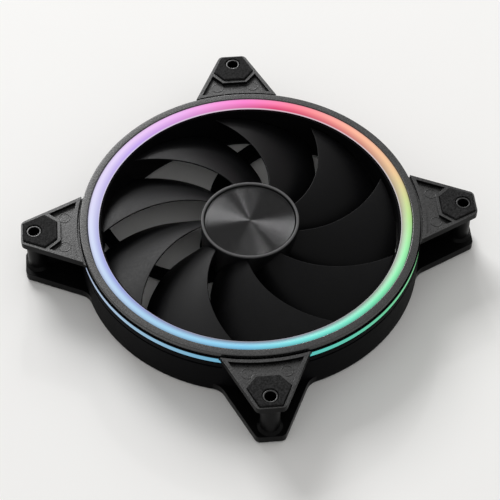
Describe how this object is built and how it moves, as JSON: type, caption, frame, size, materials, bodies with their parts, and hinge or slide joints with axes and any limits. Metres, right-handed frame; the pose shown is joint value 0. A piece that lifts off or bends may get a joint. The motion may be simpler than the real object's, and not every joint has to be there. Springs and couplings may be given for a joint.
{
  "type": "case fan",
  "caption": "Round-bodied computer case fan with corner mounting ears, rubber corner pads, a lit front ring, lit side strips and forward-swept blades on a central motor.",
  "frame": {"origin": "on the impeller's spin axis, in the plane of the rear pads' faces", "axes": "+Z along the spin axis from the rear, where the struts and label are, to the front, where air goes in; the four ears point along the diagonals between X and Y"},
  "size_m": [0.14, 0.14, 0.025],
  "materials": {
    "frame_plastic": "fine spark-eroded texture",
    "bezel_plastic": "fine matt texture",
    "ring_diffuser": "milky light-guide plastic, lit from below in a colour wheel",
    "strip_diffuser": "milky light-guide plastic, lit from inside",
    "white_board": "white solder resist",
    "pad_rubber": "fine-grained soft rubber",
    "brass": "turned",
    "sintered_bronze": "porous, oiled",
    "natural_nylon": "moulded",
    "slip_film": "smooth film",
    "seal_plastic": "moulded",
    "core_steel": "stacked laminations",
    "copper_wire": "enamelled winding",
    "green_board": "solder resist",
    "black_resin": "moulded",
    "label_film": "plain blank film",
    "blade_plastic": "satin",
    "spun_disc": "spun rings, dark tint",
    "yoke_steel": "pressed, zinc plated",
    "ferrite": "bonded ferrite",
    "shaft_steel": "ground",
    "spring_steel": "stamped"
  },
  "bodies": {
    "housing": {"fan_frame": "frame_plastic", "front_bezel": "bezel_plastic", "light_ring": "ring_diffuser", "light_board": "white_board", "side_light_strip_1": "strip_diffuser", "side_light_strip_2": "strip_diffuser", "side_light_strip_3": "strip_diffuser", "side_light_strip_4": "strip_diffuser", "front_pad_1": "pad_rubber", "rear_pad_1": "pad_rubber", "front_pad_2": "pad_rubber", "rear_pad_2": "pad_rubber", "front_pad_3": "pad_rubber", "rear_pad_3": "pad_rubber", "front_pad_4": "pad_rubber", "rear_pad_4": "pad_rubber", "bearing_housing": "brass", "bearing_sleeve": "sintered_bronze", "bearing_cap": "natural_nylon", "thrust_disc": "slip_film", "oil_seal": "seal_plastic", "stator_core": "core_steel", "upper_bobbin": "natural_nylon", "lower_bobbin": "natural_nylon", "stator_coil_1": "copper_wire", "stator_coil_2": "copper_wire", "stator_coil_3": "copper_wire", "stator_coil_4": "copper_wire", "motor_board": "green_board", "hall_sensor": "black_resin", "rear_label": "label_film"},
    "rotor": {"impeller": "blade_plastic", "hub_disc": "spun_disc", "rotor_yoke": "yoke_steel", "rotor_magnet": "ferrite", "shaft": "shaft_steel", "shaft_clip": "spring_steel"}
  },
  "joints": [
    {"name": "impeller_spin", "type": "hinge", "parent": "housing", "child": "rotor", "pos_m": [0, 0, 0.012], "axis": [0, 0, 1], "continuous": true}
  ]
}
